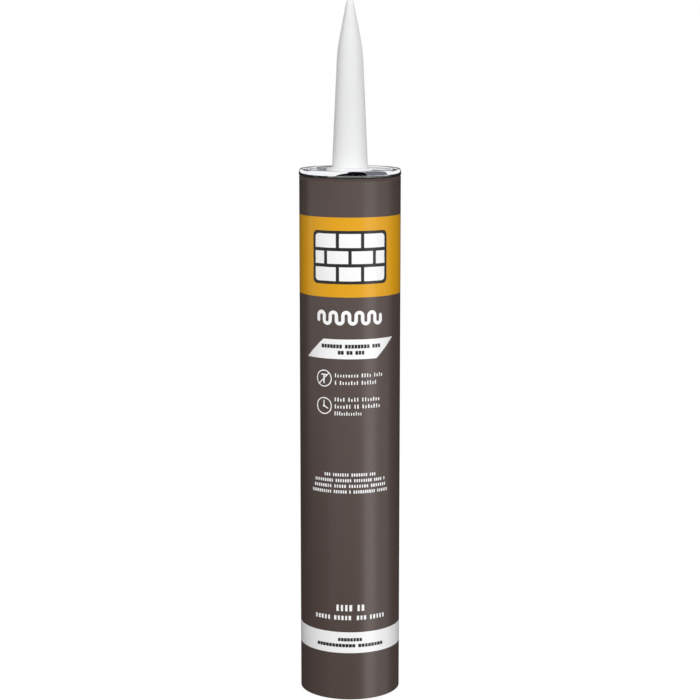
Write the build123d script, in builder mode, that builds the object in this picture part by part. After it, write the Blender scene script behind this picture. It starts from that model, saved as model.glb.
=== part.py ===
"""A quart cartridge of construction adhesive, for a caulking gun.

A wound board tube in a printed paper label stands on its rear rim. A stamped
metal end is rolled over the front edge of the board, and a hollow plastic
nozzle snaps into the hole in its middle. A cup shaped piston with two wiper
lips closes the tube from behind and pushes the adhesive out.

Millimetres, +Z up the axis towards the nozzle. The origin is the centre of the
rear rim, and the front of the label faces -Y.
"""

import os
from math import degrees, sin

from build123d import *

os.makedirs("parts", exist_ok=True)

# Barrel
barrel_radius = 32.5
body_length = 342.8
board_thickness = 1.3
label_thickness = 0.3

# Colour fields of the label: how deep they are let in, and where they lie on it
ink_depth = 0.15
yellow_band_from_top = 24.05
yellow_band_height = 50.3
white_band_from_rim = 31.4
white_band_height = 14.0
panel_width = 47.8
panel_height = 30.4
panel_corner = 2.5
banner_below_yellow = 26.7
banner_width = 48.9
banner_height = 12.6
banner_slant = 13.6

# Metal end, one sheet stamped and rolled over the board, its skirt folded double
sheet_thickness = 0.22
seam_height = 4.0
roll_height = 2.8
crest_width = 1.0
board_below_crest = 1.1
label_below_seam = 0.65
countersink_depth = 6.0
countersink_width = 3.4
panel_drop = 1.5
hole_clearance = 0.05

# Nozzle, with its heights counted from the crest of the seam
nozzle_length = 105.5
nozzle_wall = 1.3
taper_sink = 0.1
foot_radius = 11.45
shoulder_radius = 8.1
shoulder_height = 74.7
tip_radius = 2.3
tip_bevel = 0.8
tip_thickness = 2.5
tip_bore_radius = 1.4
flange_radius = 15.0
flange_thickness = 1.9
flange_bevel = 0.5
hub_radius = 11.2
snap_bead = 0.7
snap_bead_height = 0.8
snap_length = 2.6
snap_lead_in = 0.5

# Foil seal, glued across the rear end of the nozzle's hub
foil_thickness = 0.1

# Piston
rear_recess = 37.5
piston_height = 22.0
piston_wall = 1.4
skirt_clearance = 0.7
wiper_clearance = 0.05
wiper_height = 1.5
cup_depth = 15.0
rib_count = 6
rib_thickness = 1.2
boss_radius = 5.0

# Adhesive: the gaps it leaves, and the piston's gap to its front stop
fill_clearance = 0.05
fill_gap = 0.1
stop_gap = 0.3

# Barrel and label that follow
board_radius = barrel_radius - label_thickness
bore_radius = board_radius - board_thickness
ink_radius = barrel_radius - ink_depth
seam_bottom = body_length - seam_height
label_top = seam_bottom - label_below_seam
yellow_top = label_top - yellow_band_from_top
yellow_bottom = yellow_top - yellow_band_height
panel_middle = (yellow_top + yellow_bottom) / 2
banner_top = yellow_bottom - banner_below_yellow
banner_bottom = banner_top - banner_height
white_top = white_band_from_rim + white_band_height

# Metal end that follows
seam_radius = barrel_radius + sheet_thickness
chuck_radius = bore_radius - sheet_thickness
roll_middle = (seam_radius + chuck_radius) / 2
roll_bottom = body_length - roll_height
board_top = body_length - board_below_crest
panel_top = body_length - panel_drop
panel_under = panel_top - sheet_thickness
panel_radius = chuck_radius - countersink_width
countersink_under = body_length - countersink_depth
countersink_top = countersink_under + sheet_thickness
hole_radius = hub_radius + hole_clearance

# Nozzle that follows
hub_bore_radius = foot_radius - nozzle_wall
hub_tip_radius = hub_radius - snap_lead_in
hub_bottom = panel_under - snap_length
bead_radius = hub_radius + snap_bead
bead_bottom = panel_under - snap_bead_height
flange_top = panel_top + flange_thickness
shoulder_top = body_length + shoulder_height
nozzle_top = body_length + nozzle_length
tip_bore_top = nozzle_top - tip_thickness
foil_bottom = hub_bottom - foil_thickness

# Piston and adhesive that follow
piston_front = rear_recess + piston_height
wiper_radius = bore_radius - wiper_clearance
piston_radius = bore_radius - skirt_clearance
cup_radius = piston_radius - piston_wall
cup_floor = rear_recess + cup_depth
seat_radius = cup_radius - piston_wall
fill_radius = bore_radius - fill_clearance
fill_top = countersink_under - fill_gap
piston_travel = fill_top - piston_front - stop_gap


def ring(inner, outer, bottom, top, mode=Mode.ADD):
    """Turns a ring with these radii and heights."""
    with BuildSketch(Plane.XZ) as section:
        with Locations(((inner + outer) / 2, (bottom + top) / 2)):
            Rectangle(outer - inner, top - bottom)
    revolve(section.sketch, axis=Axis.Z, mode=mode)


def across(arc):
    """How far from the middle plane a point lies that is this far round the label."""
    return barrel_radius * sin(arc / barrel_radius)


# Wound board tube, from the rear rim to just under the roll of the seam
with BuildPart() as tube:
    ring(bore_radius, board_radius, 0, board_top)

# White fields of the label: a panel, a banner with slanted ends, and a band
with BuildPart() as panel:
    half_turn = degrees(panel_width / 2 / barrel_radius)
    with BuildSketch(Plane.XZ.rotated((0, 0, -90 - half_turn))):
        with Locations(((ink_radius + barrel_radius) / 2, panel_middle)):
            Rectangle(ink_depth, panel_height)
    revolve(axis=Axis.Z, revolution_arc=2 * half_turn)
    corners = panel.edges().filter_by(GeomType.LINE).group_by(SortBy.LENGTH)[0]
    fillet(corners, panel_corner)

with BuildPart() as banner:
    ring(ink_radius, barrel_radius, banner_bottom, banner_top)
    with BuildSketch(Plane.XZ):
        with BuildLine():
            near_end = across((banner_width - banner_slant) / 2)
            far_end = across((banner_width + banner_slant) / 2)
            Polyline(
                (-far_end, banner_bottom),
                (near_end, banner_bottom),
                (far_end, banner_top),
                (-near_end, banner_top),
                close=True,
            )
        make_face()
    extrude(amount=barrel_radius + label_thickness, mode=Mode.INTERSECT)

with BuildPart() as label_white_fields:
    ring(ink_radius, barrel_radius, white_band_from_rim, white_top)
    add(panel.part)
    add(banner.part)

# Yellow band round the tube, open where the panel lies
with BuildPart() as label_yellow_band:
    ring(ink_radius, barrel_radius, yellow_bottom, yellow_top)
    add(panel.part, mode=Mode.SUBTRACT)

# Printed paper label glued round the board, with the colour fields let into it
with BuildPart() as label:
    ring(board_radius, barrel_radius, 0, label_top)
    ring(ink_radius, barrel_radius, yellow_bottom, yellow_top, mode=Mode.SUBTRACT)
    add(label_white_fields.part, mode=Mode.SUBTRACT)

# Metal end: panel, countersink, chuck wall, roll over the board's edge, double skirt
with BuildPart() as metal_end:
    with BuildSketch(Plane.XZ):
        with BuildLine():
            Polyline(
                (hole_radius, panel_under),
                (hole_radius, panel_top),
                (panel_radius, panel_top),
                (panel_radius, countersink_top),
                (chuck_radius, countersink_top),
                (chuck_radius, board_top),
                (roll_middle - crest_width / 2, body_length),
                (roll_middle + crest_width / 2, body_length),
                (seam_radius, roll_bottom),
                (seam_radius, seam_bottom),
                (board_radius, seam_bottom),
                (board_radius, board_top),
                (bore_radius, board_top),
                (bore_radius, countersink_under),
                (panel_radius - sheet_thickness, countersink_under),
                (panel_radius - sheet_thickness, panel_under),
                close=True,
            )
        make_face()
    revolve(axis=Axis.Z)

# Nozzle: hub with a snap bead, flange on the panel, long taper, steep cone, closed tip
with BuildPart() as nozzle:
    with BuildSketch(Plane.XZ):
        with BuildLine():
            Polyline(
                (hub_bore_radius, hub_bottom),
                (hub_tip_radius, hub_bottom),
                (bead_radius, bead_bottom),
                (bead_radius, panel_under),
                (hub_radius, panel_under),
                (hub_radius, panel_top),
                (flange_radius, panel_top),
                (flange_radius, flange_top - flange_bevel),
                (flange_radius - flange_bevel, flange_top),
                (foot_radius, flange_top),
            )
            SagittaArc((foot_radius, flange_top), (shoulder_radius, shoulder_top), taper_sink)
            Polyline(
                (shoulder_radius, shoulder_top),
                (tip_radius, nozzle_top - tip_bevel),
                (tip_radius - tip_bevel, nozzle_top),
                (0, nozzle_top),
                (0, tip_bore_top),
                (tip_bore_radius, tip_bore_top),
                (shoulder_radius - nozzle_wall, shoulder_top),
            )
            SagittaArc(
                (shoulder_radius - nozzle_wall, shoulder_top),
                (hub_bore_radius, flange_top),
                -taper_sink,
            )
            Line((hub_bore_radius, flange_top), (hub_bore_radius, hub_bottom))
        make_face()
    revolve(axis=Axis.Z)

# Foil seal that the user pierces through the nozzle
with BuildPart() as foil_seal:
    with BuildSketch(Plane.XY.offset(foil_bottom)):
        Circle(hub_tip_radius)
    extrude(amount=foil_thickness)

# One rib of the piston, under its face, from the axis into the wall
with BuildPart() as rib:
    with BuildSketch(Plane.XZ):
        with BuildLine():
            Polyline(
                (0, cup_floor),
                (cup_radius, cup_floor),
                (cup_radius, piston_front - piston_wall / 2),
                (0, piston_front - piston_wall / 2),
                close=True,
            )
        make_face()
    extrude(amount=rib_thickness / 2, both=True)

# Piston: cup open to the rear, a wiper lip at each end, a closed face and its ribs
with BuildPart() as piston:
    with BuildSketch(Plane.XZ):
        with BuildLine():
            Polyline(
                (cup_radius, cup_floor),
                (cup_radius, rear_recess),
                (wiper_radius, rear_recess),
                (piston_radius, rear_recess + wiper_height),
                (piston_radius, piston_front - wiper_height),
                (wiper_radius, piston_front),
                (0, piston_front),
                (0, cup_floor),
                (boss_radius, cup_floor),
                (boss_radius, piston_front - piston_wall),
                (seat_radius, piston_front - piston_wall),
                (seat_radius, cup_floor),
                close=True,
            )
        make_face()
    revolve(axis=Axis.Z)
    with PolarLocations(0, rib_count):
        add(rib.part)

# Adhesive, from the piston's face to the underside of the countersink
with BuildPart() as adhesive:
    with BuildSketch(Plane.XY.offset(piston_front + fill_gap)):
        Circle(fill_radius)
    extrude(amount=fill_top - piston_front - fill_gap)

pieces = {
    "tube": tube,
    "label": label,
    "label_yellow_band": label_yellow_band,
    "label_white_fields": label_white_fields,
    "metal_end": metal_end,
    "nozzle": nozzle,
    "foil_seal": foil_seal,
    "piston": piston,
    "adhesive": adhesive,
}
for name, piece in pieces.items():
    piece.part.label = name
    export_step(piece.part, f"parts/{name}.step")

print(f"adhesive {adhesive.part.volume / 1000:.1f} ml")
print(f"piston travel {piston_travel:.2f} mm")
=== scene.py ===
"""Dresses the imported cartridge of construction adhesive: its looks, its light and its camera.

Everything is in metres in the frame of the CAD model. Sizes are written in millimetres
and multiplied by MM where a mesh is made.
"""

# %% [markdown]
# A cartridge for a caulking gun is a wound board tube in a printed label, with a rolled
# metal end, a hollow plastic nozzle and a piston inside. The CAD model gives each piece
# its place. This lesson gives each piece its surface, from the frame outwards.

import math
import random

import bmesh
import bpy
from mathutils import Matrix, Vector


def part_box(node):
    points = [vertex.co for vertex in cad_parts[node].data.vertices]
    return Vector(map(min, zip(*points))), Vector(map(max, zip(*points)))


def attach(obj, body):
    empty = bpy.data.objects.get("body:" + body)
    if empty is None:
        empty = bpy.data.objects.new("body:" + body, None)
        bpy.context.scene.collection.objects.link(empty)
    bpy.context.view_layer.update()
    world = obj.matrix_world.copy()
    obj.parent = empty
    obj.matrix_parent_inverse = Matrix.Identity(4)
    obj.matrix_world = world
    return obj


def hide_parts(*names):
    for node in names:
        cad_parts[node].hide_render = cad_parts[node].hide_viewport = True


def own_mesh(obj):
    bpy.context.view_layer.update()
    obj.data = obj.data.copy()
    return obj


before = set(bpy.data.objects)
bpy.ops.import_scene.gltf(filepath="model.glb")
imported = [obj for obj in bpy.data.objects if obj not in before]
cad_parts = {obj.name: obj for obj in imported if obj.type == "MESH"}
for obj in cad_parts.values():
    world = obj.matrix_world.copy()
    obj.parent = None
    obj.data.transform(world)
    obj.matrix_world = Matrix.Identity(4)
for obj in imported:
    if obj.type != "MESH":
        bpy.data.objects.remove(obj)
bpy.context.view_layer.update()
MM = 0.001
print("nodes:", sorted(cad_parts))

# %% [markdown]
# The camera comes first, because every later choice is judged through it. A long lens
# from a little above fits the photograph: the rim shows as a thin ellipse, and the sides
# of the barrel run almost parallel.

# %% Camera
CAMERA_PLACE = (0.0, -1.195, 0.4198)
CAMERA_TILT = 9.25

lens = bpy.data.cameras.new("camera")
lens.lens = 96.0
lens.sensor_width = 36.0
lens.clip_start = 0.05
camera = bpy.data.objects.new("camera", lens)
camera.location = CAMERA_PLACE
camera.rotation_euler = (math.radians(90 - CAMERA_TILT), 0, 0)
bpy.context.scene.collection.objects.link(camera)
bpy.context.scene.camera = camera
bpy.context.scene.view_settings.view_transform = "Standard"
print("camera at", CAMERA_PLACE, "tilted down", CAMERA_TILT, "degrees")

# %% [markdown]
# The sizes below are the ones of the CAD source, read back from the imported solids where
# a box can tell them. What a box can't tell, such as a wall inside, is written out.

# %% Sizes in millimetres
BOARD_THICKNESS = 1.3
LABEL_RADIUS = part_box("label")[1].x / MM
LABEL_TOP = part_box("label")[1].z / MM
BOARD_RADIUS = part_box("tube")[1].x / MM
BOARD_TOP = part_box("tube")[1].z / MM
BORE_RADIUS = BOARD_RADIUS - BOARD_THICKNESS
SEAM_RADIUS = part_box("metal_end")[1].x / MM
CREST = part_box("metal_end")[1].z / MM
NOZZLE_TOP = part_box("nozzle")[1].z / MM
HUB_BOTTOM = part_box("nozzle")[0].z / MM
FLANGE_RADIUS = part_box("nozzle")[1].x / MM
YELLOW_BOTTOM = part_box("label_yellow_band")[0].z / MM
YELLOW_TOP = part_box("label_yellow_band")[1].z / MM
WHITE_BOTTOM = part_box("label_white_fields")[0].z / MM
PISTON_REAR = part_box("piston")[0].z / MM
PISTON_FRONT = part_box("piston")[1].z / MM
print(f"label radius {LABEL_RADIUS:.2f}, crest of the seam {CREST:.2f}, nozzle top {NOZZLE_TOP:.2f}")

# %% [markdown]
# Node trees read better when a sum or a product takes one line. These helpers add a node,
# and link or set its inputs, in a shader tree and in a geometry tree alike.


# %% Helpers for node trees
def feed(tree, socket, value):
    """Links an output to the socket, or sets the socket to a plain value."""
    if isinstance(value, bpy.types.NodeSocket):
        tree.links.new(value, socket)
    else:
        socket.default_value = value


def node(tree, kind, settings=None, **inputs):
    """Adds a node with its settings and its inputs by name, and returns it."""
    made = tree.nodes.new(kind)
    for key, value in (settings or {}).items():
        setattr(made, key, value)
    for key, value in inputs.items():
        feed(tree, made.inputs[key.replace("_", " ")], value)
    return made


def sum_of(tree, operation, *values):
    """Adds a Math node and returns what it puts out."""
    made = tree.nodes.new("ShaderNodeMath")
    made.operation = operation
    for socket, value in zip(made.inputs, values):
        feed(tree, socket, value)
    return made.outputs[0]


# %% [markdown]
# Most finishes here share one effect: a surface that isn't quite even. Real plastic, tin
# and varnished paper all show slow drifts in tone and fine variation in gloss. One shader
# group makes a mask for each of the two, and every material places it with its own scales.

# %% Shader group: uneven
uneven = bpy.data.node_groups.new("uneven", "ShaderNodeTree")
for way, kind, name in (
    ("INPUT", "NodeSocketVector", "Vector"),
    ("INPUT", "NodeSocketFloat", "Drift Scale"),
    ("INPUT", "NodeSocketFloat", "Grain Scale"),
    ("OUTPUT", "NodeSocketFloat", "Drift"),
    ("OUTPUT", "NodeSocketFloat", "Grain"),
):
    uneven.interface.new_socket(name, in_out=way, socket_type=kind)
way_in = uneven.nodes.new("NodeGroupInput")
way_out = uneven.nodes.new("NodeGroupOutput")
drift = node(
    uneven, "ShaderNodeTexNoise", Vector=way_in.outputs["Vector"], Scale=way_in.outputs["Drift Scale"],
    Detail=3.0, Roughness=0.5,
)
grain = node(
    uneven, "ShaderNodeTexNoise", Vector=way_in.outputs["Vector"], Scale=way_in.outputs["Grain Scale"],
    Detail=4.0, Roughness=0.6,
)
uneven.links.new(drift.outputs["Fac"], way_out.inputs["Drift"])
uneven.links.new(grain.outputs["Fac"], way_out.inputs["Grain"])
print("uneven group:", len(uneven.nodes), "nodes")

# %% [markdown]
# A material helper keeps every finish in the same order: object coordinates, the uneven
# group, a small change of colour and of roughness, and a bump where one is asked for.
# Values that are the same all over go straight to the shader's own sockets.


# %% Helper for a finish
GRAIN_DEPTH = 0.1


def finish(name, colour, roughness, drift_scale, grain_scale, bump, tone=0.04, gloss=0.05, **plain):
    """Makes a material, and returns it with its shader and its coordinates."""
    material = bpy.data.materials.new(name)
    material.use_nodes = True
    tree = material.node_tree
    shader = tree.nodes["Principled BSDF"]
    place = tree.nodes.new("ShaderNodeTexCoord")
    group = tree.nodes.new("ShaderNodeGroup")
    group.node_tree = uneven
    feed(tree, group.inputs["Vector"], place.outputs["Object"])
    group.inputs["Drift Scale"].default_value = drift_scale
    group.inputs["Grain Scale"].default_value = grain_scale
    shade = node(tree, "ShaderNodeMix", {"data_type": "RGBA"})
    shade.inputs["A"].default_value = (*[part * (1 - tone) for part in colour], 1)
    shade.inputs["B"].default_value = (*[min(1.0, part * (1 + tone)) for part in colour], 1)
    feed(tree, shade.inputs["Factor"], group.outputs["Drift"])
    feed(tree, shader.inputs["Base Color"], shade.outputs["Result"])
    rough = node(tree, "ShaderNodeMapRange", Value=group.outputs["Grain"])
    rough.inputs["To Min"].default_value = roughness - gloss
    rough.inputs["To Max"].default_value = roughness + gloss
    feed(tree, shader.inputs["Roughness"], rough.outputs["Result"])
    if bump:
        relief = node(tree, "ShaderNodeBump", Strength=bump, Height=group.outputs["Grain"])
        relief.inputs["Distance"].default_value = GRAIN_DEPTH * MM
        feed(tree, shader.inputs["Normal"], relief.outputs["Normal"])
    for key, value in plain.items():
        shader.inputs[key.replace("_", " ")].default_value = value
    return material, shader, place


# %% [markdown]
# The label is paper with printed ink under a satin varnish. The inks differ only in
# colour, so one finish makes them all: the varnish is the same film over every ink.

# %% Finishes of the label
INKS = {
    "brown": (0.081, 0.058, 0.0512),
    "yellow": (0.745, 0.355, 0.004),
    "white": (0.93, 0.93, 0.93),
    "black": (0.012, 0.011, 0.011),
}
inks = {
    name: finish(
        f"ink_{name}", colour, 0.3, 30.0, 900.0, tone=0.03, bump=0.05, Specular_IOR_Level=0.35
    )[0]
    for name, colour in INKS.items()
}
print("inks:", sorted(inks))

# %% [markdown]
# Polypropylene and polyethylene are milky: light goes a little way in and comes out
# softened. Subsurface scattering over a few millimetres does that. Its weight stays at a
# third for the thin nozzle, because with more the light is lost in the hollow inside.

# %% Finishes of the nozzle and the piston
nozzle_plastic, *_ = finish(
    "nozzle_plastic", (0.84, 0.845, 0.85), 0.34, 14.0, 500.0, tone=0.012, bump=0.04,
    Subsurface_Weight=0.35, Subsurface_Scale=6 * MM, Subsurface_Radius=(1.0, 1.0, 1.0),
    Specular_IOR_Level=0.4,
)
piston_plastic, *_ = finish(
    "piston_plastic", (0.70, 0.70, 0.67), 0.42, 20.0, 600.0, tone=0.03, bump=0.06,
    Subsurface_Weight=0.1, Subsurface_Scale=2 * MM, Specular_IOR_Level=0.4,
)
print("plastics:", nozzle_plastic.name, piston_plastic.name)

# %% [markdown]
# Tinplate is bright steel. It was rolled as a flat sheet before it was stamped, so it
# keeps fine straight lines all in one direction, also round the roll. A noise that is
# stretched along one axis draws them. The foil is thinner, duller and a little crumpled.

# %% Finishes of the metal end and the foil
LINE_SCALES = (60.0, 2500.0, 2500.0)
LINE_DEPTH = 0.02
tinplate, shader, place = finish(
    "tinplate", (0.91, 0.915, 0.925), 0.08, 60.0, 1200.0, tone=0.05, gloss=0.03, bump=0.0, Metallic=1.0
)
tree = tinplate.node_tree
stretch = node(tree, "ShaderNodeMapping", Vector=place.outputs["Object"])
stretch.inputs["Scale"].default_value = LINE_SCALES
lines = node(tree, "ShaderNodeTexNoise", Vector=stretch.outputs["Vector"], Scale=1.0, Detail=2.0)
relief = node(tree, "ShaderNodeBump", Strength=0.05, Height=lines.outputs["Fac"])
relief.inputs["Distance"].default_value = LINE_DEPTH * MM
feed(tree, shader.inputs["Normal"], relief.outputs["Normal"])
foil, *_ = finish("foil", (0.8, 0.8, 0.81), 0.25, 90.0, 700.0, bump=0.4, Metallic=1.0)
print("metals:", tinplate.name, foil.name)

# %% [markdown]
# The barrel is wound from strips of board on a slant, so its inside shows a seam that
# climbs as a helix, and its cut rear edge shows the plies as rings. Both follow a rule of
# place: the seam from the angle and the height, the plies from the distance to the axis.

# %% Finish of the board
WINDING_LEAD = 118.0
SEAM_SHARE = 0.006
PLY = 0.33
GLUE_SHARE = 0.3
CUT_EDGE = 0.2
DARK_LINE = (0.2, 0.135, 0.08, 1)
DARK_STRENGTH = 0.75
board, shader, place = finish(
    "board", (0.44, 0.33, 0.215), 0.82, 45.0, 1400.0, tone=0.12, gloss=0.06, bump=0.5,
    Specular_IOR_Level=0.2,
)
tree = board.node_tree
split = node(tree, "ShaderNodeSeparateXYZ", Vector=place.outputs["Object"])
turn = sum_of(tree, "ARCTAN2", split.outputs["Y"], split.outputs["X"])
climb = sum_of(tree, "DIVIDE", split.outputs["Z"], WINDING_LEAD * MM)
lap = sum_of(tree, "FRACT", sum_of(tree, "ADD", sum_of(tree, "DIVIDE", turn, 2 * math.pi), climb))
seam = sum_of(tree, "LESS_THAN", lap, SEAM_SHARE)
x_squared = sum_of(tree, "POWER", split.outputs["X"], 2.0)
y_squared = sum_of(tree, "POWER", split.outputs["Y"], 2.0)
from_axis = sum_of(tree, "SQRT", sum_of(tree, "ADD", x_squared, y_squared))
ply = sum_of(tree, "PINGPONG", from_axis, PLY * MM / 2)
ply = sum_of(tree, "DIVIDE", ply, PLY * MM / 2)
edge = sum_of(tree, "LESS_THAN", split.outputs["Z"], CUT_EDGE * MM)
between_plies = sum_of(tree, "MULTIPLY", edge, sum_of(tree, "LESS_THAN", ply, GLUE_SHARE))
dark = sum_of(tree, "MAXIMUM", seam, between_plies)
plain_board = shader.inputs["Base Color"].links[0].from_socket
darker = node(tree, "ShaderNodeMix", {"data_type": "RGBA"})
darker.inputs["B"].default_value = DARK_LINE
feed(tree, darker.inputs["A"], plain_board)
feed(tree, darker.inputs["Factor"], sum_of(tree, "MULTIPLY", dark, DARK_STRENGTH))
feed(tree, shader.inputs["Base Color"], darker.outputs["Result"])
print("board wound with a lead of", WINDING_LEAD, "mm")

# %% [markdown]
# A turned piece is a profile spun round the axis. The corners of a moulded or stamped
# piece are never sharp, so each corner of a profile may carry the radius of its fillet.
# A screw modifier could spin the profile too. Here the rings are built step by step, which
# keeps the count of faces in hand and welds the points that lie on the axis.


# %% Helpers for turned pieces
ARC_STEP = math.radians(11)
SHARP_EDGE = math.radians(35)


def rounded(corners, closed=True):
    """Draws the fillet at each (radius, height, fillet) corner as an arc of points."""
    points = []
    last = len(corners) - 1
    for at, (radius, height, fillet) in enumerate(corners):
        corner = Vector((radius, height))
        if fillet == 0 or (not closed and at in (0, last)):
            points.append(corner)
            continue
        before = (Vector(corners[at - 1][:2]) - corner).normalized()
        after = (Vector(corners[(at + 1) % len(corners)][:2]) - corner).normalized()
        half = before.angle(after) / 2
        centre = corner + (before + after).normalized() * fillet / math.sin(half)
        start = corner + before * fillet / math.tan(half) - centre
        end = corner + after * fillet / math.tan(half) - centre
        sweep = start.angle_signed(end)
        steps = max(2, math.ceil(abs(sweep) / ARC_STEP))
        for step in range(steps + 1):
            turn = -sweep * step / steps
            points.append(
                centre
                + Vector(
                    (
                        start.x * math.cos(turn) - start.y * math.sin(turn),
                        start.x * math.sin(turn) + start.y * math.cos(turn),
                    )
                )
            )
    return points


def settle(name, mesh, material):
    """Makes an object of a bmesh, smooth but for its sharp edges."""
    data = bpy.data.meshes.new(name)
    mesh.to_mesh(data)
    mesh.free()
    data.polygons.foreach_set("use_smooth", [True] * len(data.polygons))
    data.set_sharp_from_angle(angle=SHARP_EDGE)
    data.materials.append(material)
    made = bpy.data.objects.new(name, data)
    bpy.context.scene.collection.objects.link(made)
    return made


def turned(name, points, material, steps, closed=True):
    """Spins a profile of points in millimetres round the axis."""
    mesh = bmesh.new()
    around = []
    for step in range(steps):
        angle = 2 * math.pi * step / steps
        around.append(
            [
                mesh.verts.new((p.x * MM * math.cos(angle), p.x * MM * math.sin(angle), p.y * MM))
                for p in points
            ]
        )
    runs = len(points) if closed else len(points) - 1
    for step in range(steps):
        here, there = around[step], around[(step + 1) % steps]
        for at in range(runs):
            onward = (at + 1) % len(points)
            mesh.faces.new((here[at], here[onward], there[onward], there[at]))
    bmesh.ops.remove_doubles(mesh, verts=mesh.verts, dist=1e-6)
    bmesh.ops.dissolve_degenerate(mesh, edges=mesh.edges, dist=1e-7)
    bmesh.ops.recalc_face_normals(mesh, faces=mesh.faces)
    made = settle(name, mesh, material)
    print(f"{name}: {len(made.data.polygons)} faces")
    return made


def place_piece(piece, body, slot, *nodes):
    """Lets a piece ride on its body and stand for its nodes. Its slot is not used."""
    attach(piece, body)
    if nodes:
        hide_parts(*nodes)


# %% [markdown]
# The metal end starts as a disc. The press drops a groove round its panel, and the seamer
# rolls its rim over the board's edge and turns the edge of the skirt in. The roll is what
# the eye catches. It swells out in one long curve from its crest and turns in again in a
# tight curl just above the label, so it mirrors the room from the ceiling to the floor.
# Arcs of ovals draw it, because fillets between straight lines would leave flat bands.

# %% Metal end
SHEET = 0.22
SEAM_HEIGHT = 4.0
PANEL_DROP = 1.5
GROOVE_DEPTH = 6.0
GROOVE_WIDTH = 3.4
SKIRT_BOTTOM = CREST - SEAM_HEIGHT
CHUCK_RADIUS = BORE_RADIUS - SHEET
ROLL_HALF = (SEAM_RADIUS - CHUCK_RADIUS) / 2
ROLL_MIDDLE = CHUCK_RADIUS + ROLL_HALF
ROLL_HEIGHT = 3.3
CURL_DEPTH = 0.2
CURL_HEIGHT = 0.22
PANEL_TOP = CREST - PANEL_DROP
PANEL_RADIUS = CHUCK_RADIUS - GROOVE_WIDTH
GROOVE = CREST - GROOVE_DEPTH
HOLE_RADIUS = 11.25


def oval(middle, height, wide, tall, first, last, steps):
    """Points of an oval arc, between two angles in degrees from the outward side."""
    angles = [math.radians(first + (last - first) * step / steps) for step in range(steps + 1)]
    return [(middle + wide * math.cos(turn), height + tall * math.sin(turn), 0) for turn in angles]


curl_start = CREST - ROLL_HEIGHT
roll = oval(ROLL_MIDDLE, BOARD_TOP, ROLL_HALF, CREST - BOARD_TOP, 180, 90, 12)
roll += oval(ROLL_MIDDLE, curl_start, ROLL_HALF, ROLL_HEIGHT, 84, 0, 16)
roll += oval(SEAM_RADIUS - CURL_DEPTH, SKIRT_BOTTOM + CURL_HEIGHT, CURL_DEPTH, CURL_HEIGHT, 0, -90, 8)
end_profile = rounded(
    [
        (HOLE_RADIUS, PANEL_TOP - SHEET, 0),
        (HOLE_RADIUS, PANEL_TOP, 0.1),
        (PANEL_RADIUS, PANEL_TOP, 0.9),
        (PANEL_RADIUS, GROOVE + SHEET, 0.8),
        (CHUCK_RADIUS, GROOVE + SHEET, 0.8),
        *roll,
        (BOARD_RADIUS, SKIRT_BOTTOM, 0.1),
        (BOARD_RADIUS, BOARD_TOP, 0),
        (BORE_RADIUS, BOARD_TOP, 0),
        (BORE_RADIUS, GROOVE, 0),
        (PANEL_RADIUS - SHEET, GROOVE, 0.5),
        (PANEL_RADIUS - SHEET, PANEL_TOP - SHEET, 0.6),
    ]
)
metal_end = turned("metal_end_sheet", end_profile, tinplate, steps=256)
place_piece(metal_end, "cartridge", "tinplate", "metal_end")

# %% [markdown]
# The nozzle is a hollow moulding: a hub that snaps into the metal end, a flange that lies
# on it, a long slight taper, a soft shoulder and a steeper cone with a closed round tip.
# The shoulder bends with a radius of some 90 mm, so it shows as a swell and not as an edge.
# Its outside and inside are one profile, so the wall is thin and light passes through it.

# %% Nozzle
FLANGE_THICKNESS = 1.9
FLANGE_TOP = PANEL_TOP + FLANGE_THICKNESS
SHOULDER_HEIGHT = 74.7
SHOULDER = CREST + SHOULDER_HEIGHT
FOOT_RADIUS = 11.45
SHOULDER_RADIUS = 8.1
SHOULDER_SWEEP = 90.0
TIP_RADIUS = 2.3
TIP_DRAFT = 0.15
TIP_THICKNESS = 2.5
TIP_BORE = 1.4
WALL = 1.3
HUB_RADIUS = 11.2
HUB_TIP_RADIUS = 10.7
SNAP_RADIUS = 11.9
SNAP_TOP = PANEL_TOP - SHEET
SNAP_HEIGHT = 0.8
nozzle_profile = rounded(
    [
        (0, NOZZLE_TOP, 0),
        (TIP_RADIUS - TIP_DRAFT, NOZZLE_TOP, 1.1),
        (SHOULDER_RADIUS, SHOULDER, SHOULDER_SWEEP),
        (FOOT_RADIUS, FLANGE_TOP, 1.0),
        (FLANGE_RADIUS, FLANGE_TOP, 0.8),
        (FLANGE_RADIUS, PANEL_TOP, 0.25),
        (HUB_RADIUS, PANEL_TOP, 0),
        (HUB_RADIUS, SNAP_TOP, 0),
        (SNAP_RADIUS, SNAP_TOP, 0.15),
        (SNAP_RADIUS, SNAP_TOP - SNAP_HEIGHT, 0.3),
        (HUB_TIP_RADIUS, HUB_BOTTOM, 0.1),
        (FOOT_RADIUS - WALL, HUB_BOTTOM, 0.2),
        (FOOT_RADIUS - WALL, FLANGE_TOP, 3.0),
        (SHOULDER_RADIUS - WALL, SHOULDER, SHOULDER_SWEEP - 2.0),
        (TIP_BORE, NOZZLE_TOP - TIP_THICKNESS, 0.4),
        (0, NOZZLE_TOP - TIP_THICKNESS, 0),
    ],
    closed=False,
)
nozzle = turned("nozzle_moulding", nozzle_profile, nozzle_plastic, closed=False, steps=160)
place_piece(nozzle, "cartridge", "nozzle_plastic", "nozzle")

# %% [markdown]
# The board tube is plain to model: its looks are in its finish. Its rear edge was cut, so
# the arrises are only a little soft.

# %% Board tube
tube_profile = rounded(
    [
        (BORE_RADIUS, 0, 0.25),
        (BOARD_RADIUS, 0, 0.2),
        (BOARD_RADIUS, BOARD_TOP, 0),
        (BORE_RADIUS, BOARD_TOP, 0),
    ]
)
tube = turned("tube_board", tube_profile, board, steps=192)
place_piece(tube, "cartridge", "board", "tube")

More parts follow.
